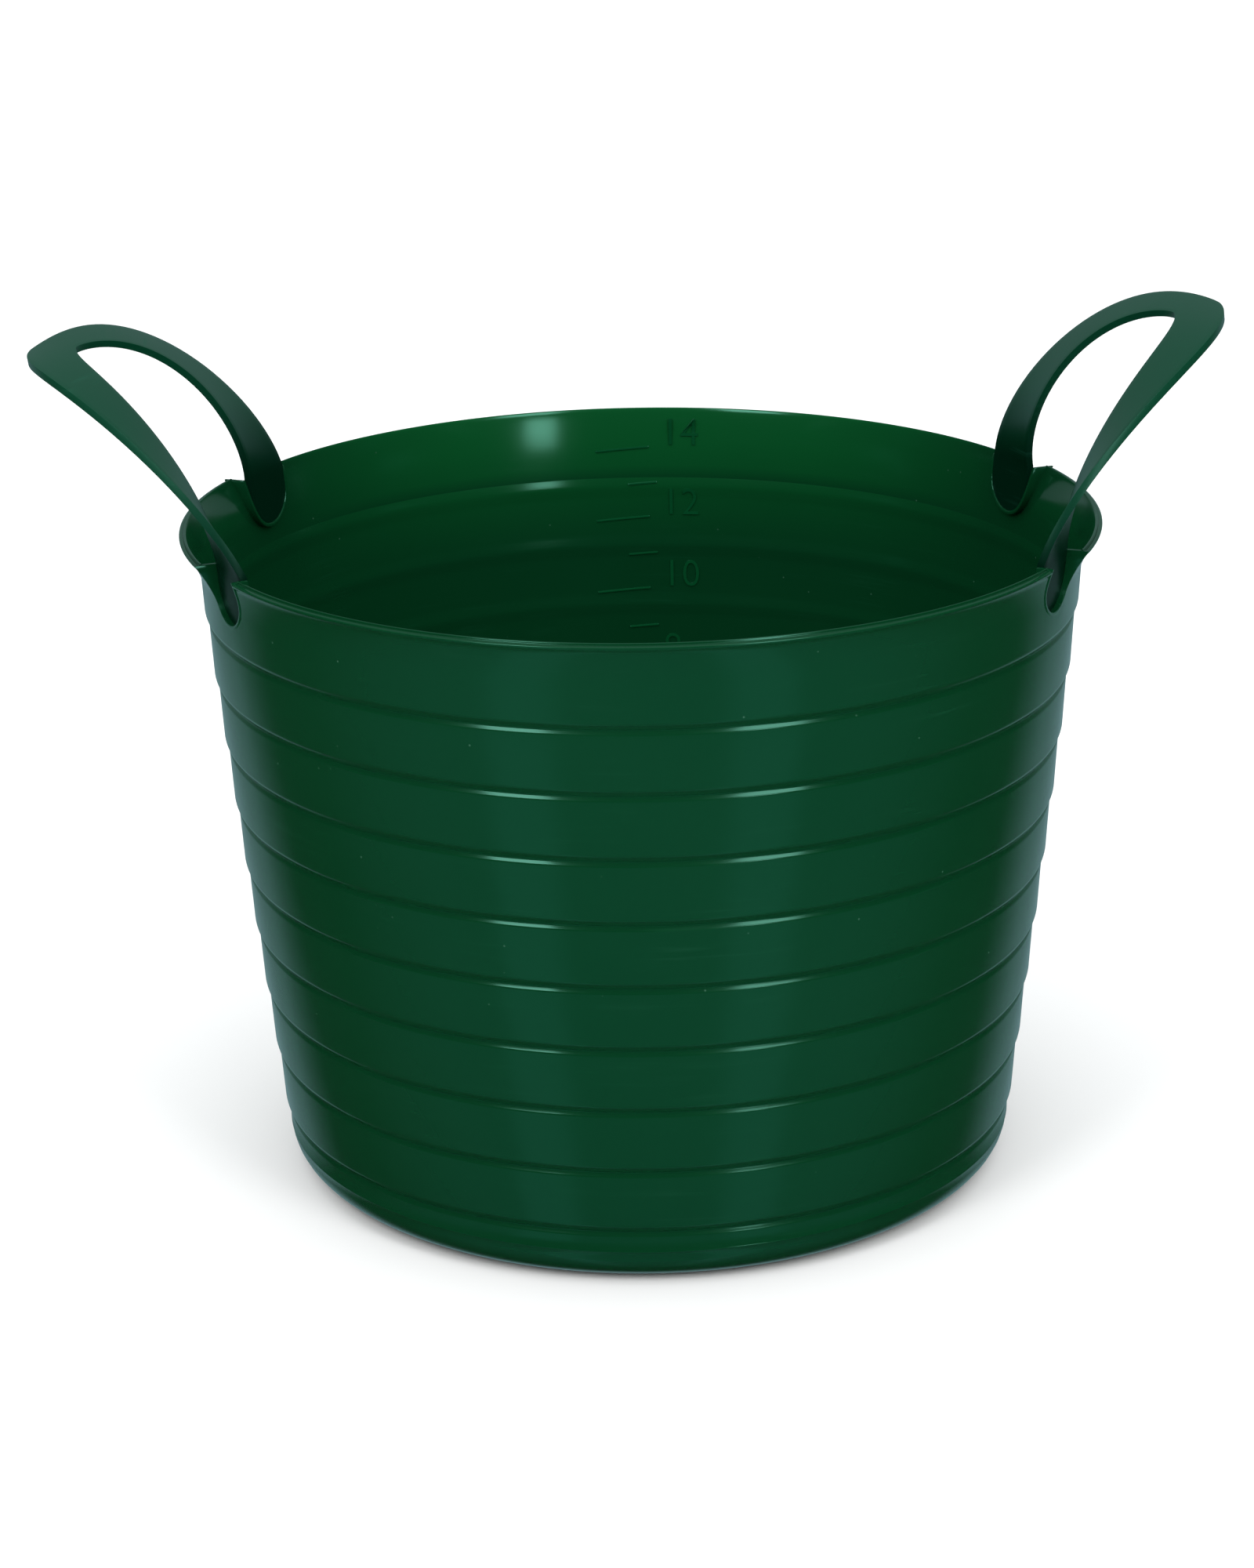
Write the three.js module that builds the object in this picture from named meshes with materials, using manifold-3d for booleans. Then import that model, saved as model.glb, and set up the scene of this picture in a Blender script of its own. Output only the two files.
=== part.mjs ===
// A flexible round tub moulded in one piece, with a strap handle on each side.
// Millimetres, +Z up, origin at the middle of the underside, handles on +X and -X.
import * as THREE from "three";
import { mergeVertices } from "three/addons/utils/BufferGeometryUtils.js";
import Module from "manifold-3d";

const wasm = await Module();
wasm.setup();

// ---- driving dimensions -------------------------------------------------
const tub = {
  height: 239.3, // underside to the top of the rim
  topRadius: 157.9, // outside of the wall at the rim
  baseRadius: 131.8, // outside of the wall, carried down to the underside
  barrel: 0.76, // how far the wall bows out of a straight cone at mid height
  wall: 2.4,
  floor: 3,
  heelReach: 13.7, // round between the flat disc that the tub stands on and the wall
  heelHeight: 13.4,
};
const steps = {
  count: 9, // grooves that ring the wall
  first: 21, // height of the lowest groove
  topBand: 30.7, // highest groove to the top of the rim
  depth: 1.3, // groove bottom, inside the plain wall
  crest: 0.6, // bead just above each groove, outside the plain wall
  crestRise: 2.6,
  shoulder: 0.3, // how far the band tucks in before the next groove
  shoulderDrop: 1.2,
};
const rim = { reach: 2.1, flare: 14, round: 0.9 }; // outside thickens towards its rounded edge
const lip = { reach: 4, height: 14 }; // wall flared outwards between a handle's feet
const loop = {
  halfWidth: 82.6, // handle measured flat along the rim, to its outer edge
  height: 100.9,
  legWidth: 25.8,
  gripWidth: 18.6,
  outerRoundness: [1.65, 1.71], // powers of the outer outline, across and up
  innerRoundness: [1.6, 1.6],
  thickness: 3,
  inset: 2.9, // wall's outside to the middle of the strap
};
// How each handle stands at rest. lean is in degrees: at the foot, what it gains in proportion up
// the strap, and what it gains with the square. flatten is how fast the strap leaves the tub's
// curve, and lead is how far one end of the grip stands further out than its middle.
const rightSet = { lean: [-18.1, 106, -1.4], flatten: 2.3, lead: -12.2 };
const leftSet = { lean: [-9.7, 93.4, 19.6], flatten: 2.58, lead: 9 };
const root = {
  depth: 19, // recess below the rim
  ridge: 1.5, // raised edge round the recess
  back: 4.6, // inner face of the root, inside the wall's outside
  overlap: 6, // strap carried down into the recess
};
const hinge = { rise: 8, radius: 8 }; // axis above the rim, and the rolled end that turns on it
const clearance = 0.3;

const footRadius = tub.baseRadius - tub.heelReach;

const around = 60; // facets round the tub
const strapSteps = 36; // facets along one handle
const arcSteps = 5;

// ---- helpers --------------------------------------------------------------
const radians = THREE.MathUtils.degToRad;
const lerp = THREE.MathUtils.lerp;

function toSolid(geometry) {
  const bare = new THREE.BufferGeometry();
  bare.setAttribute("position", geometry.getAttribute("position"));
  bare.setIndex(geometry.getIndex());
  const merged = mergeVertices(bare, 1e-3);
  const corners = merged.getIndex().array;
  const triVerts = [];
  for (let i = 0; i < corners.length; i += 3) {
    const [p, q, r] = corners.slice(i, i + 3);
    if (p !== q && q !== r && r !== p) triVerts.push(p, q, r);
  }
  return new wasm.Manifold(
    new wasm.Mesh({
      numProp: 3,
      vertProperties: new Float32Array(merged.getAttribute("position").array),
      triVerts: new Uint32Array(triVerts),
    }),
  );
}

function toMesh(name, solid, material) {
  const { vertProperties, triVerts } = solid.getMesh();
  const geometry = new THREE.BufferGeometry();
  geometry.setAttribute("position", new THREE.BufferAttribute(vertProperties, 3));
  geometry.setIndex(new THREE.BufferAttribute(triVerts, 1));
  geometry.computeVertexNormals();
  const mesh = new THREE.Mesh(geometry, material);
  mesh.name = name;
  return mesh;
}

// Joins rings of points, each going the same way round, into one closed solid.
function solidFromRings(rings) {
  const size = rings[0].length;
  const index = [];
  for (let i = 0; i < rings.length - 1; i++) {
    for (let j = 0; j < size; j++) {
      const k = (j + 1) % size;
      const near = i * size;
      const far = near + size;
      index.push(near + j, near + k, far + k);
      index.push(near + j, far + k, far + j);
    }
  }
  const last = (rings.length - 1) * size;
  for (let j = 1; j < size - 1; j++) {
    index.push(0, j + 1, j);
    index.push(last, last + j, last + j + 1);
  }
  const geometry = new THREE.BufferGeometry().setFromPoints(rings.flat());
  geometry.setIndex(index);
  return toSolid(geometry);
}

function movePoints(geometry, place) {
  const position = geometry.getAttribute("position");
  for (let i = 0; i < position.count; i++) {
    const moved = place(position.getX(i), position.getY(i), position.getZ(i));
    position.setXYZ(i, moved.x, moved.y, moved.z);
  }
  return geometry;
}

// ---- the tub --------------------------------------------------------------
function wallRadius(z) {
  const up = z / tub.height;
  return lerp(tub.baseRadius, tub.topRadius, up) + 4 * tub.barrel * up * (1 - up);
}

function arcPoints(radius, height, floorRadius, floorHeight) {
  const points = [];
  for (let i = 0; i <= arcSteps; i++) {
    const turn = (i / arcSteps) * (Math.PI / 2);
    const r = floorRadius + (radius - floorRadius) * Math.sin(turn);
    const z = floorHeight + (height - floorHeight) * (1 - Math.cos(turn));
    points.push(new THREE.Vector2(r, z));
  }
  return points;
}

function grooveHeights() {
  const last = tub.height - steps.topBand;
  const share = (k) => k / (steps.count - 1);
  return Array.from({ length: steps.count }, (_, k) => lerp(steps.first, last, share(k)));
}

function outerProfile() {
  const heel = arcPoints(wallRadius(tub.heelHeight), tub.heelHeight, footRadius, 0);
  const points = [new THREE.Vector2(0, 0), ...heel];
  for (const z of grooveHeights()) {
    const below = z - steps.shoulderDrop;
    const above = z + steps.crestRise;
    points.push(new THREE.Vector2(wallRadius(below) - steps.shoulder, below));
    points.push(new THREE.Vector2(wallRadius(z) - steps.depth, z));
    points.push(new THREE.Vector2(wallRadius(above) + steps.crest, above));
  }
  const edgeFoot = 1 - (2 * rim.round) / rim.flare;
  for (const up of [0, 0.4, 0.7, edgeFoot]) {
    const z = tub.height - rim.flare * (1 - up);
    points.push(new THREE.Vector2(wallRadius(z) + rim.reach * up * up, z));
  }
  const edge = tub.topRadius + rim.reach;
  points.push(new THREE.Vector2(edge, tub.height - rim.round));
  points.push(new THREE.Vector2(edge - rim.round, tub.height));
  return points;
}

function innerProfile() {
  const heights = [tub.height, tub.height - 0.6 * lip.height, tub.height - lip.height];
  const points = heights.map((z) => new THREE.Vector2(wallRadius(z) - tub.wall, z));
  for (const z of grooveHeights().reverse()) {
    const above = z + steps.crestRise;
    points.push(new THREE.Vector2(wallRadius(above) + steps.crest - tub.wall, above));
    points.push(new THREE.Vector2(wallRadius(z) - steps.depth - tub.wall, z));
  }
  const innerWall = wallRadius(tub.heelHeight) - tub.wall;
  const heel = arcPoints(innerWall, tub.heelHeight, footRadius - tub.wall, tub.floor);
  return [...points, ...heel.reverse(), new THREE.Vector2(0, tub.floor)];
}

const footCentre = loop.halfWidth - loop.legWidth / 2; // along the rim from the handle's middle
const rootHalfWidth = loop.legWidth / 2 + root.ridge;

// The lip is full between the two roots of a handle and dies away behind them.
function lipShare(x, y) {
  const along = Math.atan2(Math.abs(y), Math.abs(x)) * tub.topRadius;
  const full = footCentre - rootHalfWidth;
  return THREE.MathUtils.clamp((footCentre - along) / (footCentre - full), 0, 1);
}

function tubGeometry() {
  const profile = [...outerProfile(), ...innerProfile()];
  const geometry = new THREE.LatheGeometry(profile, around);
  geometry.rotateX(Math.PI / 2);
  return movePoints(geometry, (x, y, z) => {
    const up = THREE.MathUtils.clamp((z - (tub.height - lip.height)) / lip.height, 0, 1);
    const radius = Math.hypot(x, y);
    const grown = radius + lip.reach * up * lipShare(x, y);
    const scale = radius > 0 ? grown / radius : 1;
    return new THREE.Vector3(x * scale, y * scale, z);
  });
}

// ---- handle roots ------------------------------------------------------------
// a runs along the rim from the handle's middle, s up from the rim, n inwards from the wall.
function onWall(a, s, n) {
  const z = tub.height + s;
  const radius = wallRadius(z) - n;
  const turn = a / tub.topRadius;
  return new THREE.Vector3(radius * Math.cos(turn), radius * Math.sin(turn), z);
}

function tongueSolid(side, halfWidth, depth, top, outside, inside) {
  const outline = new THREE.Shape();
  const centre = halfWidth - depth;
  outline.moveTo(-halfWidth, top);
  outline.lineTo(-halfWidth, centre);
  outline.absarc(0, centre, halfWidth, Math.PI, 2 * Math.PI, false);
  outline.lineTo(halfWidth, top);
  outline.closePath();
  const options = { depth: inside - outside, bevelEnabled: false, curveSegments: 10 };
  const block = new THREE.ExtrudeGeometry(outline, options);
  const place = (across, s, deep) => {
    const along = side * footCentre - across; // turned over, since n runs inwards
    return onWall(along, s, outside + deep);
  };
  return toSolid(movePoints(block, place));
}

function rootBlock(side) {
  const depth = root.depth + root.ridge;
  const block = tongueSolid(side, rootHalfWidth, depth, 0, 0, root.back);
  const recessFloor = loop.inset - loop.thickness / 2;
  const recess = tongueSolid(
    side, loop.legWidth / 2, root.depth, root.overlap, -rim.reach, recessFloor,
  );
  return block.subtract(recess);
}

function rootNotch(side) {
  const halfWidth = rootHalfWidth + clearance;
  const depth = root.depth + root.ridge + clearance;
  const outside = -(lip.reach + 2 * rim.reach);
  return tongueSolid(side, halfWidth, depth, root.overlap, outside, 2 * root.back);
}

// ---- handles -----------------------------------------------------------------
// How far a strap has leaned out and climbed at s, from its lean angle summed along it.
function strapRun(set, s) {
  const slices = 40;
  const [start, linear, square] = set.lean;
  let out = 0;
  let up = 0;
  for (let i = 0; i < slices; i++) {
    const share = ((i + 0.5) / slices) * (s / loop.height);
    const angle = radians(start + linear * share + square * share * share);
    out += (Math.sin(angle) * s) / slices;
    up += (Math.cos(angle) * s) / slices;
  }
  return { out, up };
}

function strapMiddle(set, a, s) {
  const turn = a / tub.topRadius;
  const share = s / loop.height;
  const radius = tub.topRadius - loop.inset;
  const bow = radius * (1 - Math.cos(turn)) * (1 - set.flatten * share);
  const { out, up } = strapRun(set, s);
  const lead = set.lead * (a / loop.halfWidth) * share;
  return new THREE.Vector3(
    radius - bow + out + lead,
    radius * Math.sin(turn),
    tub.height + up,
  );
}

function strapPoint(set, a, s, n) {
  const small = 0.05;
  const along = strapMiddle(set, a + small, s).sub(strapMiddle(set, a - small, s));
  const upward = strapMiddle(set, a, s + small).sub(strapMiddle(set, a, s - small));
  const outwards = along.cross(upward).normalize();
  return strapMiddle(set, a, s).addScaledVector(outwards, n);
}

// Half an oval whose powers set how square its shoulders are.
function outlinePoint(halfWidth, height, roundness, turn) {
  const across = Math.abs(Math.cos(turn)) ** (2 / roundness[0]) * Math.sign(Math.cos(turn));
  const up = Math.sin(turn) ** (2 / roundness[1]);
  return new THREE.Vector2(halfWidth * across, height * up);
}

function strapSection(set, outer, inner) {
  const corner = 0.06; // share of the width that is rounded off
  const half = loop.thickness / 2;
  const section = [
    [0, -half / 2], [corner, -half], [1 - corner, -half], [1, -half / 2],
    [1, half / 2], [1 - corner, half], [corner, half], [0, half / 2],
  ];
  return section.map(([across, n]) => {
    const at = outer.clone().lerp(inner, across);
    return strapPoint(set, at.x, at.y, n);
  });
}

function strapSolid(set) {
  const stations = [];
  const innerWidth = loop.halfWidth - loop.legWidth;
  const innerHeight = loop.height - loop.gripWidth;
  for (let i = 0; i <= strapSteps; i++) {
    const turn = THREE.MathUtils.clamp((i / strapSteps) * Math.PI, 0, Math.PI);
    const safe = Math.abs(turn - Math.PI) < 1e-9 ? Math.PI - 1e-9 : turn;
    stations.push([
      outlinePoint(loop.halfWidth, loop.height, loop.outerRoundness, safe),
      outlinePoint(innerWidth, innerHeight, loop.innerRoundness, safe),
    ]);
  }
  const buried = ([outer, inner]) => [
    new THREE.Vector2(outer.x, -root.overlap),
    new THREE.Vector2(inner.x, -root.overlap),
  ];
  const all = [buried(stations[0]), ...stations, buried(stations[strapSteps])];
  return solidFromRings(all.map(([outer, inner]) => strapSection(set, outer, inner)));
}

function hingeCentre(set) {
  const middle = strapMiddle(set, footCentre, hinge.rise);
  return new THREE.Vector3(middle.x, 0, tub.height + hinge.rise);
}

function hingeRoll(set, radius) {
  const centre = hingeCentre(set);
  const roll = new THREE.CylinderGeometry(radius, radius, 2.4 * loop.halfWidth, 48);
  return toSolid(roll.translate(centre.x, centre.y, centre.z));
}

// Everything round the feet below the hinge axis; side 0 takes both feet.
function footSpace(set, side) {
  const centre = hingeCentre(set);
  const drop = 2 * (hinge.rise + root.overlap);
  const length = side === 0 ? 2.4 * loop.halfWidth : 1.2 * loop.halfWidth;
  const box = new THREE.BoxGeometry(4 * hinge.radius, length, drop);
  return toSolid(box.translate(centre.x, (side * length) / 2, centre.z - drop / 2));
}

function handleSolid(set, strap) {
  const removed = footSpace(set, 0).subtract(hingeRoll(set, hinge.radius));
  return strap.subtract(removed);
}

function rootSolid(set, strap, side) {
  const stub = strap.intersect(footSpace(set, side));
  const joined = rootBlock(side).add(stub);
  return joined.subtract(hingeRoll(set, hinge.radius + clearance));
}

// ---- assembly ----------------------------------------------------------------
function greenPlastic(colour, roughness) {
  return new THREE.MeshStandardMaterial({ color: colour, roughness, metalness: 0 });
}

function handleGroup(name, set, ends) {
  const strap = strapSolid(set);
  const group = new THREE.Group();
  group.add(toMesh(`handle_${name}`, handleSolid(set, strap), greenPlastic(0x22513f, 0.4)));
  for (const [end, side] of ends) {
    const solid = rootSolid(set, strap, side);
    group.add(toMesh(`handle_root_${name}_${end}`, solid, greenPlastic(0x15402d, 0.4)));
  }
  return group;
}

function tubShell() {
  let solid = toSolid(tubGeometry());
  for (const side of [1, -1]) {
    const notch = rootNotch(side);
    solid = solid.subtract(notch).subtract(notch.rotate([0, 0, 180]));
  }
  return toMesh("tub_shell", solid, greenPlastic(0x0d4230, 0.35));
}

const right = handleGroup("right", rightSet, [["back", 1], ["front", -1]]);
const left = handleGroup("left", leftSet, [["front", 1], ["back", -1]]);
left.rotation.z = Math.PI;

const model = new THREE.Group();
model.add(tubShell(), right, left);

export default model;
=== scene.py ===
import math

import bmesh
import bpy
from mathutils import Matrix, Vector


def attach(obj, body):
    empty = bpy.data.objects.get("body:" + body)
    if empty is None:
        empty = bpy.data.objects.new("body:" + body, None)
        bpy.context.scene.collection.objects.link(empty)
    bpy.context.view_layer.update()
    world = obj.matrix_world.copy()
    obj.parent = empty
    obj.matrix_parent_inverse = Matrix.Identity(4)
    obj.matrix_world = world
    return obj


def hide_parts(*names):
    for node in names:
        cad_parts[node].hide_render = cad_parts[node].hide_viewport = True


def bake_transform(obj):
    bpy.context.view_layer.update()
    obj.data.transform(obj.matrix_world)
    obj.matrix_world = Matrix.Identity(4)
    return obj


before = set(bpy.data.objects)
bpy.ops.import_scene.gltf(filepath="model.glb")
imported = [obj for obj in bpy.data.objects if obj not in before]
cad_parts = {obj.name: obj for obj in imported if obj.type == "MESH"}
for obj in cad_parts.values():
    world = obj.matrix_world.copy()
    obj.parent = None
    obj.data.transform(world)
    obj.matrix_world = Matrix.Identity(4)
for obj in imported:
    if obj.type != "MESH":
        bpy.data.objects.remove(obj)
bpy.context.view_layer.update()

# The tub's wall, in metres.
tub = {
    "height": 0.2393,
    "topRadius": 0.1579,    # outside of the wall carried up to the rim
    "baseRadius": 0.1318,
    "barrel": 0.00076,      # how far the wall bows out at mid height
    "wall": 0.0024,
    "floor": 0.003,
    "heelReach": 0.0137,    # round between the flat underside and the wall
    "heelHeight": 0.0134,
    "heelSteps": 9,
    "columns": 272,         # facets round the tub
}
grooves = {
    "count": 9,
    "first": 0.021,
    "topBand": 0.0307,      # highest groove to the top of the rim
    "depth": 0.0013,
    "crest": 0.0006,        # how far the band above a groove bulges
    "crestRise": 0.0026,
    "shoulder": 0.0003,
    "shoulderDrop": 0.0014,
    "soften": 0.0005,
    "crestSoften": 1.6,     # times soften
    "innerSoften": 2,       # times soften
    "innerDepth": 0.00045,  # the inner wall hardly follows
    "innerReach": 0.0042,
}
rim = {
    "reach": 0.0021,        # outer edge beyond the plain wall
    "flare": 0.014,
    "innerReach": 0.0014,   # inner wall opens out towards the top
    "innerFlare": 0.028,
    "flareSteps": (0, 0.25, 0.45, 0.6, 0.72, 0.82),
    "innerFlareSteps": (0.85, 0.7, 0.55, 0.4, 0.2, 0),
    "edge": 0.0018,         # height of the rounded outer edge
    "edgeTuck": 0.0002,     # its foot, set back
    "edgeFall": 0.0004,     # its widest line, below its top
    "step": 0.0006,         # outer edge below the inner one
    "outerLand": 0.0011,    # width of the outer edge's top
    "valley": (0.0001, 0.0003),         # between the two edges: outwards, down
    "innerLand": 0.0007,    # width of the inner edge's top
    "innerFall": (0.0011, 0.0012),      # where it meets the inner wall: inwards, down
    "soften": 0.0005,
}
# The wall flared out between a handle's feet.
lip = {"reach": 0.004, "height": 0.014, "power": 1.3}
partingLine = {"height": 0.0136, "proud": 0.00025, "width": 0.0008, "soften": 0.0002}
gate = {"radius": 0.009, "depth": 0.0007, "stub": 0.0018, "stubLift": 0.0001,
        "stubSoften": 0.0002, "soften": 0.0003}
mergeDistance = 0.00001
sharpFrom = 60      # degrees, edges that roundEdges takes


def clamp(value):
    return max(0.0, min(1.0, value))


def wallRadius(z):
    up = z / tub["height"]
    straight = tub["baseRadius"] + (tub["topRadius"] - tub["baseRadius"]) * up
    return straight + 4 * tub["barrel"] * up * (1 - up)


def grooveHeights():
    last = tub["height"] - grooves["topBand"]
    pitch = (last - grooves["first"]) / (grooves["count"] - 1)
    return [grooves["first"] + pitch * k for k in range(grooves["count"])]


def heelArc(wallAt, floorRadius, floorHeight):
    reach = wallAt - floorRadius
    rise = tub["heelHeight"] - floorHeight
    turns = [math.pi / 2 * k / tub["heelSteps"] for k in range(tub["heelSteps"] + 1)]
    return [(floorRadius + reach * math.sin(t), floorHeight + rise * (1 - math.cos(t)), 0)
            for t in turns]


# Corners are (radius, height, how much each one is softened).
def outerCorners():
    foot = tub["baseRadius"] - tub["heelReach"]
    corners = [
        (0, gate["stubLift"], 0),
        (gate["stub"], gate["stubLift"], gate["stubSoften"]),
        (gate["stub"], gate["depth"], gate["stubSoften"]),
        (gate["radius"], gate["depth"], gate["soften"]),
        (gate["radius"], 0, gate["soften"]),
    ]
    corners += heelArc(wallRadius(tub["heelHeight"]), foot, 0)[:-1]
    line, half = partingLine["height"], partingLine["width"] / 2
    corners += [
        (wallRadius(line - half), line - half, 0),
        (wallRadius(line) + partingLine["proud"], line, partingLine["soften"]),
        (wallRadius(line + half), line + half, 0),
    ]
    for z in grooveHeights():
        below, above = z - grooves["shoulderDrop"], z + grooves["crestRise"]
        corners += [
            (wallRadius(below) - grooves["shoulder"], below, grooves["soften"]),
            (wallRadius(z) - grooves["depth"], z, grooves["soften"]),
            (wallRadius(above) + grooves["crest"], above,
             grooves["crestSoften"] * grooves["soften"]),
        ]
    start = tub["height"] - rim["flare"]
    for up in rim["flareSteps"]:
        z = start + rim["flare"] * up
        corners.append((wallRadius(z) + rim["reach"] * up ** 2, z, 0))
    return corners


def rimCorners():
    top, radius, soft = tub["height"], tub["topRadius"], rim["soften"]
    valleyOut, valleyDown = rim["valley"]
    fallIn, fallDown = rim["innerFall"]
    return [
        (radius + rim["reach"] - rim["edgeTuck"], top - rim["edge"], soft),
        (radius + rim["reach"], top - rim["step"] - rim["edgeFall"], soft),
        (radius + rim["reach"] - rim["outerLand"], top - rim["step"], soft),
        (radius + valleyOut, top - rim["step"] - valleyDown, soft),
        (radius, top, soft),
        (radius - rim["innerLand"], top, soft),
        (radius - fallIn, top - fallDown, soft),
    ]


def innerCorners():
    inner = tub["wall"]
    corners = []
    for up in rim["innerFlareSteps"]:
        z = tub["height"] - rim["innerFlare"] * (1 - up)
        corners.append((wallRadius(z) - inner + rim["innerReach"] * up ** 2, z, 0))
    for z in reversed(grooveHeights()):
        for rise, dent in ((grooves["innerReach"], 0), (0, 1), (-grooves["innerReach"], 0)):
            at = z + rise
            corners.append((wallRadius(at) - inner - grooves["innerDepth"] * dent, at,
                            grooves["innerSoften"] * grooves["soften"]))
    innerFoot = tub["baseRadius"] - tub["heelReach"] - inner
    heel = heelArc(wallRadius(tub["heelHeight"]) - inner, innerFoot, tub["floor"])
    return corners + heel[::-1] + [(0, tub["floor"], 0)]


def spinProfile(bm, corners):
    points = [bm.verts.new((r, 0, z)) for r, z, soft in corners]
    for a, b in zip(points, points[1:]):
        bm.edges.new((a, b))
    for size in sorted({soft for r, z, soft in corners if soft}):
        picked = [p for p, c in zip(points, corners) if c[2] == size]
        bmesh.ops.bevel(bm, geom=picked, offset=size, offset_type="OFFSET", segments=3,
                        profile=0.5, affect="VERTICES", clamp_overlap=True, material=-1)
    bmesh.ops.spin(bm, geom=bm.verts[:] + bm.edges[:], cent=(0, 0, 0), axis=(0, 0, 1),
                   angle=2 * math.pi, steps=tub["columns"], use_merge=True)
    bmesh.ops.remove_doubles(bm, verts=bm.verts, dist=mergeDistance)
    bmesh.ops.recalc_face_normals(bm, faces=bm.faces)


# The handles' shape, measured flat: a along the rim, s up from it, n through the strap.
loop = {
    "halfWidth": 0.0822,    # to the strap's outer edge
    "height": 0.0998,
    "legWidth": 0.0242,
    "gripWidth": 0.0160,
    "outerPowers": (1.65, 1.71),
    "innerPowers": (1.6, 1.6),
    "thickness": 0.0025,
    "inset": 0.0029,        # wall's outside to the middle of the strap
    "edgeRound": 0.0008,
    "across": 8,
    "along": 90,
    "slices": 24,           # of the strap's rise, where its lean is added up
    "feel": 0.0015,         # reach to each side for its slope, rounds the bend at the rim
}
tongue = {
    "depth": 0.019,         # strap carried down into the wall
    "ridge": 0.0015,        # raised edge round it
    "proudOut": 0.0003,
    "backIn": 0.0047,       # inner face of that edge, from the wall's outside
    "innerFollow": 0.45,    # how far that inner face follows the flare of the lip
    "topGap": 0.0003,       # its ends, below the rim
    "edgeRound": 0.0004,
    "press": 0.0001,        # strap pressed into its notch
    "across": 8,
    "tipSteps": 8,
    "notchAbove": 0.006,    # cutter beyond the rim, and out of and into the wall
    "notchOut": 0.006,
    "notchIn": 0.008,
}
# How each handle stands: lean in degrees (at the foot, gained up the strap, gained with the
# square), how fast it leaves the tub's curve, and how far one end of the grip leads.
sets = {
    "right": {"lean": (-18.1, 106, -1.4), "flatten": 2.3, "lead": -0.0122, "side": 1},
    "left": {"lean": (-9.7, 93.4, 19.6), "flatten": 2.58, "lead": 0.009, "side": -1},
}
footCentre = loop["halfWidth"] - loop["legWidth"] / 2


def flareAt(a, z):
    up = clamp((z - tub["height"] + rim["flare"]) / rim["flare"])
    fullTo = footCentre - loop["legWidth"] / 2 - tongue["ridge"]
    share = clamp((footCentre - abs(a)) / (footCentre - fullTo))
    lipUp = clamp((z - tub["height"] + lip["height"]) / lip["height"])
    return (rim["reach"] * up ** 2,
            lip["reach"] * lipUp ** lip["power"] * share * share * (3 - 2 * share))


def flareLips(bm):
    for v in bm.verts:
        radius = math.hypot(v.co.x, v.co.y)
        if radius > tub["baseRadius"]:
            along = math.atan2(abs(v.co.y), abs(v.co.x)) * tub["topRadius"]
            grown = 1 + flareAt(along, v.co.z)[1] / radius
            v.co.x *= grown
            v.co.y *= grown


def onWall(a, s, n, side):
    z = tub["height"] + s
    radius = wallRadius(z) - n
    turn = a / tub["topRadius"]
    return Vector((side * radius * math.cos(turn), side * radius * math.sin(turn), z))


def strapMiddle(shape, a, s):
    if s < 0:
        return onWall(a, s, loop["inset"], 1)
    slices = loop["slices"]
    start, linear, square = (math.radians(v) for v in shape["lean"])
    out = up = 0
    for k in range(slices):
        share = (k + 0.5) / slices * s / loop["height"]
        angle = start + linear * share + square * share ** 2
        out += math.sin(angle) * s / slices
        up += math.cos(angle) * s / slices
    turn = a / tub["topRadius"]
    share = s / loop["height"]
    radius = tub["topRadius"] - loop["inset"]
    bow = radius * (1 - math.cos(turn)) * (1 - shape["flatten"] * share)
    lead = shape["lead"] * a / loop["halfWidth"] * share
    return Vector((radius - bow + out + lead, radius * math.sin(turn), tub["height"] + up))


def onStrap(shape, a, s, n):
    small = loop["feel"]
    along = strapMiddle(shape, a + small, s) - strapMiddle(shape, a - small, s)
    upward = strapMiddle(shape, a, s + small) - strapMiddle(shape, a, s - small)
    place = strapMiddle(shape, a, s) + along.cross(upward).normalized() * n
    return Vector((shape["side"] * place.x, shape["side"] * place.y, place.z))


def outlineAt(halfWidth, height, powers, turn):
    across = abs(math.cos(turn)) ** (2 / powers[0]) * math.copysign(1, math.cos(turn))
    return Vector((halfWidth * across, height * math.sin(turn) ** (2 / powers[1])))


# Rows from the tongue's tip up to the rim: depth and half width, with a half circle below.
def tongueRows(half, tip, top=0):
    steps = tongue["tipSteps"]
    turns = [math.pi / 2 * k / steps for k in range(steps, -1, -1)]
    rows = [(tip - half + half * math.sin(t), half * math.cos(t)) for t in turns]
    return rows + [((tip - half) * 0.5, half), (-top, half)]


# Rows are pairs of flat end points.
def shapeGrid(bm, rows, across):
    bmesh.ops.create_grid(bm, x_segments=across, y_segments=len(rows) - 1, size=0.5)
    for v in bm.verts:
        first, last = rows[round((v.co.y + 0.5) * (len(rows) - 1))]
        v.co.xy = first.lerp(last, v.co.x + 0.5)


def thicken(bm, low, high):
    bmesh.ops.translate(bm, verts=bm.verts, vec=(0, 0, low))
    made = bmesh.ops.extrude_face_region(bm, geom=bm.faces[:])
    raised = [g for g in made["geom"] if isinstance(g, bmesh.types.BMVert)]
    bmesh.ops.translate(bm, verts=raised, vec=(0, 0, high - low))
    bmesh.ops.remove_doubles(bm, verts=bm.verts, dist=mergeDistance)
    bmesh.ops.recalc_face_normals(bm, faces=bm.faces)


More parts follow.
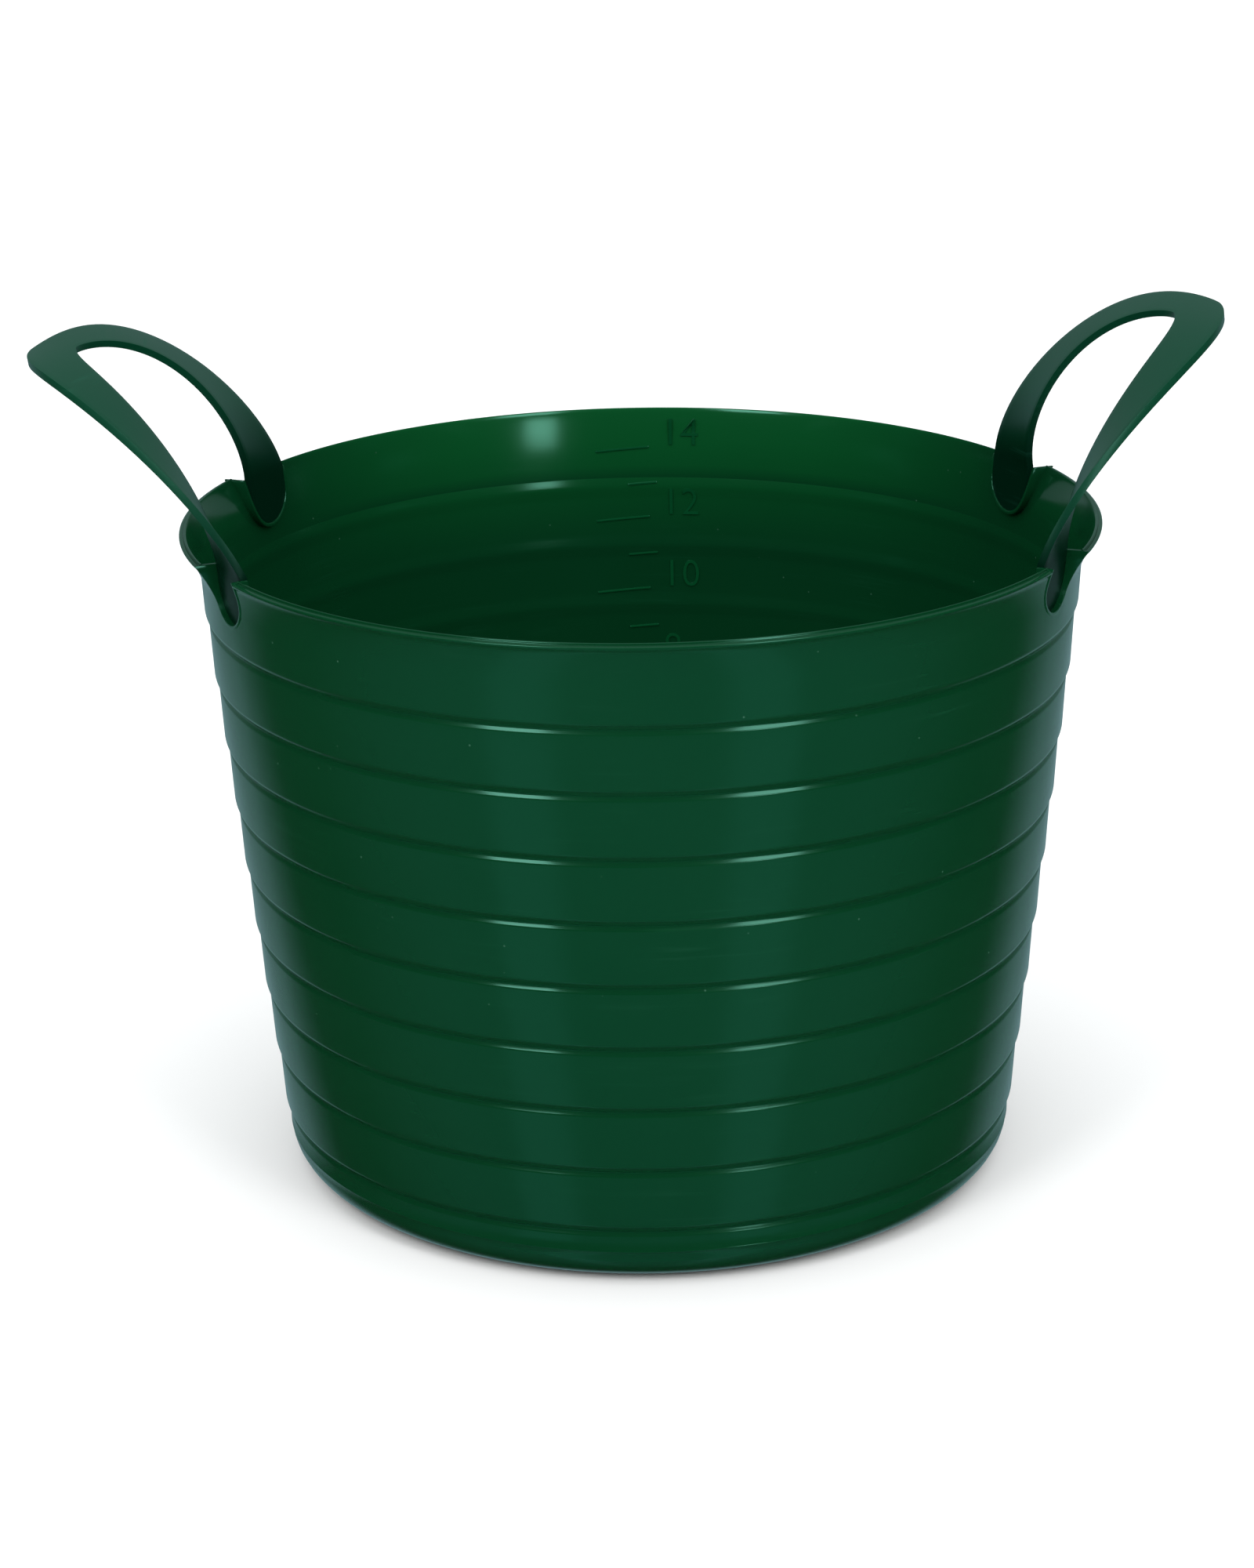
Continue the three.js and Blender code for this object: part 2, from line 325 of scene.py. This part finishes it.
def roundEdges(bm, size, segments=3):
    sharp = [e for e in bm.edges if e.is_manifold and e.calc_face_angle() > math.radians(sharpFrom)]
    bmesh.ops.bevel(bm, geom=sharp, offset=size, offset_type="OFFSET", segments=segments,
                    profile=0.5, affect="EDGES", clamp_overlap=True, material=-1)


def makeObject(name, bm, sharpAngle=38):
    mesh = bpy.data.meshes.new(name)
    bm.to_mesh(mesh)
    bm.free()
    mesh.shade_smooth()
    mesh.set_sharp_from_angle(angle=math.radians(sharpAngle))
    obj = bpy.data.objects.new(name, mesh)
    bpy.context.scene.collection.objects.link(obj)
    return obj


# How much light a place lets through, painted into its colour: the thin wall at the back, near the
# top, is the liveliest, with a painted glow, and the straps' doubled feet the darkest, with painted
# shade.
paintedGlowAndShade = {"from": 0.185, "to": 0.228, "backFrom": 0.5, "backTo": 0.9, "footFade": 0.030}


def addMask(obj, name, valueAt):
    layer = obj.data.attributes.new(name, "FLOAT", "POINT")
    for v in obj.data.vertices:
        layer.data[v.index].value = valueAt(v)


# Painted glow: how far the inner wall at the back, near the top, is painted lighter.
def lively(v):
    inward = v.normal.x * v.co.x + v.normal.y * v.co.y < 0
    up = clamp((v.co.z - paintedGlowAndShade["from"]) / (paintedGlowAndShade["to"] - paintedGlowAndShade["from"]))
    offAxis = 0.001     # so that the axis itself divides by something
    facing = v.co.y / math.hypot(v.co.x, v.co.y, offAxis)
    back = clamp((facing - paintedGlowAndShade["backFrom"])
                 / (paintedGlowAndShade["backTo"] - paintedGlowAndShade["backFrom"]))
    return up * back if inward else 0.0


# Painted shade on the straps: full at and below the rim, fading out above it.
def footShade(v):
    return 1 - clamp((v.co.z - tub["height"]) / paintedGlowAndShade["footFade"])


def makeStrap(name, shape):
    half = loop["legWidth"] / 2
    feet = [(Vector((footCentre + w, -d)), Vector((footCentre - w, -d)))
            for d, w in tongueRows(half + tongue["press"], tongue["depth"] + tongue["press"])]
    innerWidth = loop["halfWidth"] - loop["legWidth"]
    innerHeight = loop["height"] - loop["gripWidth"]
    turns = [math.pi * k / loop["along"] for k in range(1, loop["along"])]
    arch = [(outlineAt(loop["halfWidth"], loop["height"], loop["outerPowers"], t),
             outlineAt(innerWidth, innerHeight, loop["innerPowers"], t)) for t in turns]
    mirrored = [(o * Vector((-1, 1)), i * Vector((-1, 1))) for o, i in reversed(feet)]
    bm = bmesh.new()
    shapeGrid(bm, feet + arch + mirrored, loop["across"])
    thicken(bm, -loop["thickness"] / 2, loop["thickness"] / 2)
    roundEdges(bm, loop["edgeRound"])
    for v in bm.verts:
        v.co = onStrap(shape, *v.co)
    bmesh.ops.recalc_face_normals(bm, faces=bm.faces)
    strap = makeObject(name, bm)
    # Mask for the painted shade on the straps' feet.
    addMask(strap, "shaded", footShade)
    return strap


def makeTongueBlock(end, half, tip, top):
    rows = [(Vector((end * footCentre + w, -d)), Vector((end * footCentre - w, -d)))
            for d, w in tongueRows(half, tip, top)]
    bm = bmesh.new()
    shapeGrid(bm, rows, tongue["across"])
    return bm


def wrapOnWall(bm, side):
    for v in bm.verts:
        a, s, n = v.co
        share = 1 if n < 0 else tongue["innerFollow"]
        v.co = onWall(a, s, n - share * sum(flareAt(a, tub["height"] + s)), side)
    bmesh.ops.recalc_face_normals(bm, faces=bm.faces)


def makeNotch(side, end):
    half = (loop["legWidth"] + tongue["ridge"]) / 2
    bm = makeTongueBlock(end, half, tongue["depth"] + tongue["ridge"] / 2,
                         tongue["notchAbove"])
    thicken(bm, -tongue["notchOut"], tongue["notchIn"])
    wrapOnWall(bm, side)
    return makeObject("notch", bm)


# The raised U round a tongue, open at the rim.
def addCollar(target, side, end):
    ridge = tongue["ridge"]
    half = loop["legWidth"] / 2 + ridge
    bm = makeTongueBlock(end, half, tongue["depth"] + ridge, ridge)
    bmesh.ops.remove_doubles(bm, verts=bm.verts, dist=mergeDistance)
    inside = bm.faces[:]
    nearRim = -0.0001
    bmesh.ops.inset_region(bm, faces=inside, thickness=ridge, use_even_offset=True,
                           use_boundary=True)
    bar = [f for f in bm.faces if f not in inside and all(v.co.y > nearRim for v in f.verts)]
    bmesh.ops.delete(bm, geom=inside + bar, context="FACES")
    for v in bm.verts:
        v.co.y = min(v.co.y, -tongue["topGap"])
    thicken(bm, -tongue["proudOut"], tongue["backIn"])
    roundEdges(bm, tongue["edgeRound"], 2)
    wrapOnWall(bm, side)
    joinInto(target, bm)


def joinInto(target, bm):
    mesh = bpy.data.meshes.new("joined")
    bm.to_mesh(mesh)
    bm.free()
    target.from_mesh(mesh)
    bpy.data.meshes.remove(mesh)


# Litre marks moulded on the back of the inner wall.
scaleMarks = {
    "litres": range(1, 15),
    "proud": 0.0005,
    "longTick": (-0.0165, 0.0045),      # from the middle of the back, left to right
    "shortTick": (-0.004, 0.0075),
    "tickWidth": 0.0009,
    "tilt": 4.0,                        # degrees
    "digitHeight": 0.0105,
    "digitLeft": 0.0092,
    "digitLift": 0.0015,
    "capital": 0.69,                    # share of the lettering's size
    "digitThin": 0.00012,
    "digitCurve": 4,
    "tickRound": 0.00025,
    "tickCuts": 9,
}


def innerSurface(z):
    corners = sorted((height, radius) for radius, height, soft in innerCorners())
    for (z0, r0), (z1, r1) in zip(corners, corners[1:]):
        if z0 <= z <= z1 and z1 > z0:
            return r0 + (r1 - r0) * (z - z0) / (z1 - z0)
    return wallRadius(z) - tub["wall"]


def heightForLitres(litres):
    z, filled, layer = tub["floor"], 0.0, 0.0005
    while filled < litres / 1000:
        filled += math.pi * innerSurface(z + layer / 2) ** 2 * layer
        z += layer
    return z


def wrapOnBack(bm, height):
    for v in bm.verts:
        z = height + v.co.y
        radius = innerSurface(z) - v.co.z
        turn = math.pi / 2 - v.co.x / radius
        v.co = Vector((radius * math.cos(turn), radius * math.sin(turn), z))


def addTick(target, span, height):
    length = span[1] - span[0]
    size = Vector((length, scaleMarks["tickWidth"], 2 * scaleMarks["proud"]))
    bm = bmesh.new()
    bmesh.ops.create_cube(bm, size=1, matrix=Matrix.Diagonal(size.to_4d()))
    longWays = [e for e in bm.edges if abs(e.verts[0].co.x - e.verts[1].co.x) > length / 2]
    bmesh.ops.subdivide_edges(bm, edges=longWays, cuts=scaleMarks["tickCuts"],
                               use_grid_fill=True)
    roundEdges(bm, scaleMarks["tickRound"], 2)
    turn = Matrix.Rotation(math.radians(scaleMarks["tilt"]), 4, "Z")
    bmesh.ops.transform(bm, matrix=Matrix.Translation(((span[0] + span[1]) / 2, 0, 0)) @ turn,
                        verts=bm.verts)
    wrapOnBack(bm, height)
    joinInto(target, bm)


def addDigits(target, text, height):
    curve = bpy.data.curves.new("digits", "FONT")
    curve.body = text
    curve.size = scaleMarks["digitHeight"] / scaleMarks["capital"]
    curve.extrude = scaleMarks["proud"]
    curve.offset = -scaleMarks["digitThin"]
    curve.resolution_u = scaleMarks["digitCurve"]
    obj = bpy.data.objects.new("digits", curve)
    bpy.context.scene.collection.objects.link(obj)
    bpy.context.view_layer.update()
    graph = bpy.context.evaluated_depsgraph_get()
    mesh = bpy.data.meshes.new_from_object(obj.evaluated_get(graph))
    bpy.data.objects.remove(obj)
    bm = bmesh.new()
    bm.from_mesh(mesh)
    bpy.data.meshes.remove(mesh)
    bmesh.ops.remove_doubles(bm, verts=bm.verts, dist=mergeDistance)
    bmesh.ops.translate(bm, verts=bm.verts,
                        vec=(scaleMarks["digitLeft"], scaleMarks["digitLift"], 0))
    wrapOnBack(bm, height)
    joinInto(target, bm)


def cutNotches(shell):
    for side in (1, -1):
        for end in (1, -1):
            notch = makeNotch(side, end)
            cut = shell.modifiers.new("notch", "BOOLEAN")
            cut.operation = "DIFFERENCE"
            cut.solver = "MANIFOLD"
            cut.object = notch
    graph = bpy.context.evaluated_depsgraph_get()
    cutMesh = bpy.data.meshes.new_from_object(shell.evaluated_get(graph))
    for obj in [m.object for m in shell.modifiers] + [shell]:
        bpy.data.objects.remove(obj)
    return cutMesh


def makeTub():
    bm = bmesh.new()
    spinProfile(bm, outerCorners() + rimCorners() + innerCorners())
    flareLips(bm)
    shell = makeObject("shell", bm)
    bm = bmesh.new()
    bm.from_mesh(cutNotches(shell))
    for side in (1, -1):
        for end in (1, -1):
            addCollar(bm, side, end)
    marksFrom = len(bm.verts)
    for litres in scaleMarks["litres"]:
        height = heightForLitres(litres)
        if litres % 2:
            addTick(bm, scaleMarks["shortTick"], height)
        else:
            addTick(bm, scaleMarks["longTick"], height)
            addDigits(bm, str(litres), height)
    moulding = makeObject("tubMoulding", bm)
    # Mask for the painted glow on the inner back wall.
    addMask(moulding, "lively", lively)
    # The litre marks get a painted highlight: a lighter green than the wall.
    addMask(moulding, "raised", lambda v: float(v.index >= marksFrom))
    return moulding


print("shaping the tub")
tubMoulding = makeTub()
print("shaping the straps")
strapRight = makeStrap("strapRight", sets["right"])
strapLeft = makeStrap("strapLeft", sets["left"])
for o in (tubMoulding, strapRight, strapLeft):
    print(o.name, len(o.data.polygons), "faces")


# Materials.
def addNode(tree, kind, inputs=None, **settings):
    node = tree.nodes.new(kind)
    for key, value in settings.items():
        setattr(node, key, value)
    for key, value in (inputs or {}).items():
        if isinstance(value, bpy.types.NodeSocket):
            tree.links.new(value, node.inputs[key])
        else:
            node.inputs[key].default_value = value
    return node


def mixColours(tree, share, first, second):
    mix = addNode(tree, "ShaderNodeMix", {0: share, 6: first, 7: second}, data_type="RGBA")
    return mix.outputs[2]


def ramp(tree, value, span, **settings):
    fade = addNode(tree, "ShaderNodeMapRange", {"Value": value, "From Min": span[0],
                                                "From Max": span[1]}, **settings)
    return fade.outputs[0]


def multiply(tree, first, second):
    product = addNode(tree, "ShaderNodeMath", {0: first, 1: second}, operation="MULTIPLY")
    return product.outputs[0]


def newGroup(name, inputs, outputs):
    group = bpy.data.node_groups.new(name, "ShaderNodeTree")
    for socket, kind in inputs:
        group.interface.new_socket(socket, in_out="INPUT", socket_type=kind)
    for socket, kind in outputs:
        group.interface.new_socket(socket, in_out="OUTPUT", socket_type=kind)
    return group, group.nodes.new("NodeGroupInput"), group.nodes.new("NodeGroupOutput")


# Rubbing from stacking and handling: short level streaks in patches.
rubLook = {"stretch": (18, 18, 420), "streaks": (0.58, 0.74), "patchScale": 22.0,
           "patches": (0.46, 0.66)}


def rubGroup():
    group, start, end = newGroup(
        "rubMarks", [("Vector", "NodeSocketVector"), ("Amount", "NodeSocketFloat")],
        [("Mask", "NodeSocketFloat")])
    level = addNode(group, "ShaderNodeMapping", {"Vector": start.outputs["Vector"],
                                                 "Scale": rubLook["stretch"]})
    streaks = addNode(group, "ShaderNodeTexNoise", {"Vector": level.outputs[0], "Scale": 1.0,
                                                    "Detail": 3.0, "Roughness": 0.6})
    patches = addNode(group, "ShaderNodeTexNoise", {
        "Vector": start.outputs["Vector"], "Scale": rubLook["patchScale"], "Detail": 2.0})
    both = multiply(group, ramp(group, streaks.outputs[0], rubLook["streaks"]),
                    ramp(group, patches.outputs[0], rubLook["patches"]))
    scaled = multiply(group, both, start.outputs["Amount"])
    group.links.new(scaled, end.inputs["Mask"])
    return group


# Fine dust and lint: a few small specks, each at the middle of a cell.
dustLook = {"speck": (0.09, 0.05), "cells": (0.80, 0.86)}


def dustGroup():
    group, start, end = newGroup(
        "dustSpecks", [("Vector", "NodeSocketVector"), ("Scale", "NodeSocketFloat")],
        [("Mask", "NodeSocketFloat")])
    cells = addNode(group, "ShaderNodeTexVoronoi", {"Vector": start.outputs["Vector"],
                                                    "Scale": start.outputs["Scale"]})
    both = multiply(group, ramp(group, cells.outputs["Distance"], dustLook["speck"]),
                    ramp(group, cells.outputs["Color"], dustLook["cells"]))
    group.links.new(both, end.inputs["Mask"])
    return group


# Moulded skin: slow waves from cooling.
skinLook = {"waveScale": 38.0}


def skinGroup():
    group, start, end = newGroup(
        "mouldedSkin", [("Vector", "NodeSocketVector"), ("Waves", "NodeSocketFloat")],
        [("Height", "NodeSocketFloat")])
    waves = addNode(group, "ShaderNodeTexNoise", {
        "Vector": start.outputs["Vector"], "Scale": skinLook["waveScale"], "Detail": 2.0})
    height = multiply(group, waves.outputs[0], start.outputs["Waves"])
    group.links.new(height, end.inputs["Height"])
    return group


groups = {"rub": rubGroup(), "dust": dustGroup(), "skin": skinGroup()}

surface = {
    "cloudScale": 9.0,
    "cloudDetail": 4.0,
    "cloudRange": (0.3, 0.7),
    "dustScale": 210.0,
    "rubRoughness": 0.3,
    "ior": 1.5,
}
finishes = {
    "green_moulding": {
        "deep": (0.0010, 0.028, 0.0085, 1),
        "pale": (0.0016, 0.034, 0.0110, 1),
        "worn": (0.006, 0.060, 0.026, 1),
        "dust": (0.03, 0.09, 0.055, 1),
        "roughness": (0.12, 0.17),
        "rub": 0.25,
        "waves": 0.00006,
        "specular": 0.5,
        "shadedSpecular": 0.5,
        "tint": (0.35, 1.0, 0.78, 1),
        # painted glow: lighter green where the thin back wall near the top seems lit through
        "lively": (0.0022, 0.064, 0.0150, 1),
        # painted highlight on the raised litre marks
        "raised": (0.0015, 0.050, 0.015, 1),
    },
    "green_strap": {
        "deep": (0.0008, 0.031, 0.013, 1),
        "pale": (0.0016, 0.040, 0.018, 1),
        "worn": (0.012, 0.080, 0.048, 1),
        "dust": (0.06, 0.14, 0.10, 1),
        "roughness": (0.28, 0.40),
        "rub": 0.4,
        "waves": 0.00006,
        "specular": 0.4,
        # reflection where the straps' feet have painted shade
        "shadedSpecular": 0.08,
        "tint": (0.45, 1.0, 0.85, 1),
        # painted shade on the straps' doubled feet
        "shaded": (0.0003, 0.011, 0.005, 1),
    },
}


def makePlastic(name, values):
    material = bpy.data.materials.new(name)
    material.use_nodes = True
    tree = material.node_tree
    tree.nodes.clear()
    place = addNode(tree, "ShaderNodeTexCoord").outputs["Object"]
    clouds = addNode(tree, "ShaderNodeTexNoise", {
        "Vector": place, "Scale": surface["cloudScale"], "Detail": surface["cloudDetail"]})
    rub = addNode(tree, "ShaderNodeGroup", node_tree=groups["rub"])
    tree.links.new(place, rub.inputs["Vector"])
    rub.inputs["Amount"].default_value = values["rub"]
    dust = addNode(tree, "ShaderNodeGroup", node_tree=groups["dust"])
    tree.links.new(place, dust.inputs["Vector"])
    dust.inputs["Scale"].default_value = surface["dustScale"]
    skin = addNode(tree, "ShaderNodeGroup", node_tree=groups["skin"])
    tree.links.new(place, skin.inputs["Vector"])
    skin.inputs["Waves"].default_value = values["waves"]

    colour = mixColours(tree, clouds.outputs[0], values["deep"], values["pale"])
    # Painted glow, painted highlight on the litre marks and painted shade on the straps' feet, laid
    # over the plastic's colour.
    for mask in [m for m in ("lively", "raised", "shaded") if m in values]:
        where = addNode(tree, "ShaderNodeAttribute", attribute_name=mask)
        colour = mixColours(tree, where.outputs["Fac"], colour, values[mask])
    worn = mixColours(tree, rub.outputs[0], colour, values["worn"])
    dusty = mixColours(tree, dust.outputs[0], worn, values["dust"])

    low, high = values["roughness"]
    cloudFrom, cloudTo = surface["cloudRange"]
    gloss = addNode(tree, "ShaderNodeMapRange", {
        "Value": clouds.outputs[0], "From Min": cloudFrom, "From Max": cloudTo,
        "To Min": low, "To Max": high})
    rough = addNode(tree, "ShaderNodeMath", {
        0: rub.outputs[0], 1: surface["rubRoughness"], 2: gloss.outputs[0]},
        operation="MULTIPLY_ADD")
    bump = addNode(tree, "ShaderNodeBump", {"Strength": 1.0, "Distance": 1.0,
                                            "Height": skin.outputs[0]})
    # The painted shade on the straps' feet also weakens their reflection there.
    shadow = addNode(tree, "ShaderNodeAttribute", attribute_name="shaded")
    sheen = addNode(tree, "ShaderNodeMapRange", {
        "Value": shadow.outputs["Fac"], "To Min": values["specular"],
        "To Max": values["shadedSpecular"]})
    shader = addNode(tree, "ShaderNodeBsdfPrincipled", {
        "Base Color": dusty, "Roughness": rough.outputs[0], "Normal": bump.outputs[0],
        "IOR": surface["ior"], "Specular IOR Level": sheen.outputs[0],
        "Specular Tint": values["tint"]})
    addNode(tree, "ShaderNodeOutputMaterial", {"Surface": shader.outputs[0]})
    return material


materials = {name: makePlastic(name, values) for name, values in finishes.items()}
tubMoulding.data.materials.append(materials["green_moulding"])
strapRight.data.materials.append(materials["green_strap"])
strapLeft.data.materials.append(materials["green_strap"])
for name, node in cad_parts.items():
    finish = "green_strap" if name in ("handle_left", "handle_right") else "green_moulding"
    node.data.materials.clear()
    node.data.materials.append(materials[finish])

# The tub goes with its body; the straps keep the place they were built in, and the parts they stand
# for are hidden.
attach(tubMoulding, "tub")
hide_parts("tub_shell")
for strap, name in ((strapRight, "right"), (strapLeft, "left")):
    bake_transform(strap)
    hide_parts("handle_" + name, f"handle_root_{name}_front", f"handle_root_{name}_back")

# The floor and the light.
studio = {
    "floorSize": 30.0,
    "floorColour": (0.86, 0.86, 0.86, 1),
    "floorRoughness": 0.9,
    "backdrop": (0.20, 0.33, 0.36, 1),      # low behind the tub
    "backWall": (0.18, 0.25, 0.26, 1),      # higher up
    "shade": (0.02, 0.021, 0.022, 1),
    "ceiling": (0.55, 0.58, 0.60, 1),
    "table": (0.10, 0.16, 0.20, 1),         # what the wall mirrors from below
    "glare": (0.20, 0.38, 0.42, 1),         # the boxes seen in it
    "glareWidth": 0.30,
    "glareCore": 0.5,                       # share of it that is full
    # Where each part of the room fades in, along one axis of the direction looked in.
    "fades": {"behind": (0.42, 0.68), "ahead": (0.1, -0.45), "above": (-0.12, 0.08),
              "ceiling": (0.72, 0.9), "below": (-0.2, -0.3)},
    "aimHeight": 0.6,                       # share of the tub's height that the boxes face
    "boxes": [
        {"azimuth": 33, "elevation": 36, "distance": 1.7, "size": (0.46, 0.8), "power": 8},
        {"azimuth": -34, "elevation": 37, "distance": 1.7, "size": (0.44, 0.8), "power": 9},
    ],
    "low": {"azimuth": 28, "elevation": 10, "distance": 1.5, "size": (0.22, 0.30), "power": 1.5},
    "overhead": {"strength": 3.35, "spread": 150},
}


def makeFloor():
    bm = bmesh.new()
    bmesh.ops.create_grid(bm, x_segments=1, y_segments=1, size=studio["floorSize"] / 2)
    floor = makeObject("studioFloor", bm)
    material = bpy.data.materials.new("paleFloor")
    material.use_nodes = True
    shader = material.node_tree.nodes["Principled BSDF"]
    shader.inputs["Base Color"].default_value = studio["floorColour"]
    shader.inputs["Roughness"].default_value = studio["floorRoughness"]
    shader.inputs["Specular IOR Level"].default_value = 0.0
    floor.data.materials.append(material)
    floor.visible_glossy = False


def addAreaLight(name, place, aim, size, power):
    light = bpy.data.lights.new(name, "AREA")
    light.shape = "RECTANGLE"
    light.size, light.size_y = size
    light.energy = power
    obj = bpy.data.objects.new(name, light)
    obj.location = place
    obj.rotation_euler = (aim - place).to_track_quat("-Z", "Y").to_euler()
    bpy.context.scene.collection.objects.link(obj)


def addOverhead():
    light = bpy.data.lights.new("overhead", "SUN")
    light.energy = studio["overhead"]["strength"]
    light.angle = math.radians(studio["overhead"]["spread"])
    obj = bpy.data.objects.new("overhead", light)
    obj.visible_glossy = False
    bpy.context.scene.collection.objects.link(obj)


# Upright bands where the boxes show in the table; across is sideways over forwards.
def glareMask(tree, across):
    bands = []
    for box in studio["boxes"]:
        centre = -math.tan(math.radians(box["azimuth"]))
        away = addNode(tree, "ShaderNodeMath", {0: across, 1: centre}, operation="SUBTRACT")
        far = addNode(tree, "ShaderNodeMath", {0: away.outputs[0]}, operation="ABSOLUTE")
        span = (studio["glareWidth"], studio["glareCore"] * studio["glareWidth"])
        bands.append(ramp(tree, far.outputs[0], span, interpolation_type="SMOOTHSTEP"))
    both = addNode(tree, "ShaderNodeMath", {0: bands[0], 1: bands[1]}, operation="MAXIMUM")
    return both.outputs[0]


def makeWorld():
    world = bpy.data.worlds.new("studio")
    bpy.context.scene.world = world
    world.use_nodes = True
    # Sampling the room speckles grazing edges, because the floor is hidden from reflections.
    world.cycles.sampling_method = "NONE"
    tree = world.node_tree
    tree.nodes.clear()
    facing = addNode(tree, "ShaderNodeTexCoord").outputs["Generated"]
    split = addNode(tree, "ShaderNodeSeparateXYZ", {"Vector": facing})
    axes = {"behind": "Y", "ahead": "Y", "above": "Z", "ceiling": "Z", "below": "Z"}
    fade = {name: ramp(tree, split.outputs[axes[name]], span)
            for name, span in studio["fades"].items()}
    across = addNode(tree, "ShaderNodeMath", {0: split.outputs["X"], 1: split.outputs["Y"]},
                     operation="DIVIDE")
    table = mixColours(tree, glareMask(tree, across.outputs[0]), studio["table"], studio["glare"])
    wall = mixColours(tree, fade["above"], studio["backdrop"], studio["backWall"])
    room = mixColours(tree, fade["ceiling"], studio["shade"], studio["ceiling"])
    front = mixColours(tree, multiply(tree, fade["below"], fade["ahead"]), room, table)
    tint = mixColours(tree, fade["behind"], front, wall)
    glow = addNode(tree, "ShaderNodeBackground", {"Color": tint, "Strength": 1.0})
    addNode(tree, "ShaderNodeOutputWorld", {"Surface": glow.outputs[0]})


print("setting the studio")
makeFloor()
makeWorld()
middle = Vector((0, 0, tub["height"] * studio["aimHeight"]))
for k, box in enumerate(studio["boxes"] + [studio["low"]]):
    azimuth, elevation = math.radians(box["azimuth"]), math.radians(box["elevation"])
    towards = Vector((math.sin(azimuth) * math.cos(elevation),
                      -math.cos(azimuth) * math.cos(elevation), math.sin(elevation)))
    addAreaLight(f"softbox{k}", middle + towards * box["distance"], middle, box["size"],
                 box["power"])
addOverhead()

view = {
    "place": (-0.00627, -1.3450, 0.6051),
    "downwards": 19.184,    # degrees
    "roll": -0.94,
    "lens": 89.69,
    "sensor": 36,
    "clip": 0.05,
}
camera = bpy.data.objects.new("camera", bpy.data.cameras.new("camera"))
camera.data.lens = view["lens"]
camera.data.sensor_width = view["sensor"]
camera.data.clip_start = view["clip"]
turned = Matrix.Rotation(math.radians(90 - view["downwards"]), 4, "X")
rolled = Matrix.Rotation(math.radians(view["roll"]), 4, "Z")
camera.matrix_world = Matrix.Translation(view["place"]) @ turned @ rolled
bpy.context.scene.collection.objects.link(camera)
bpy.context.scene.camera = camera
bpy.context.scene.view_settings.view_transform = "Standard"
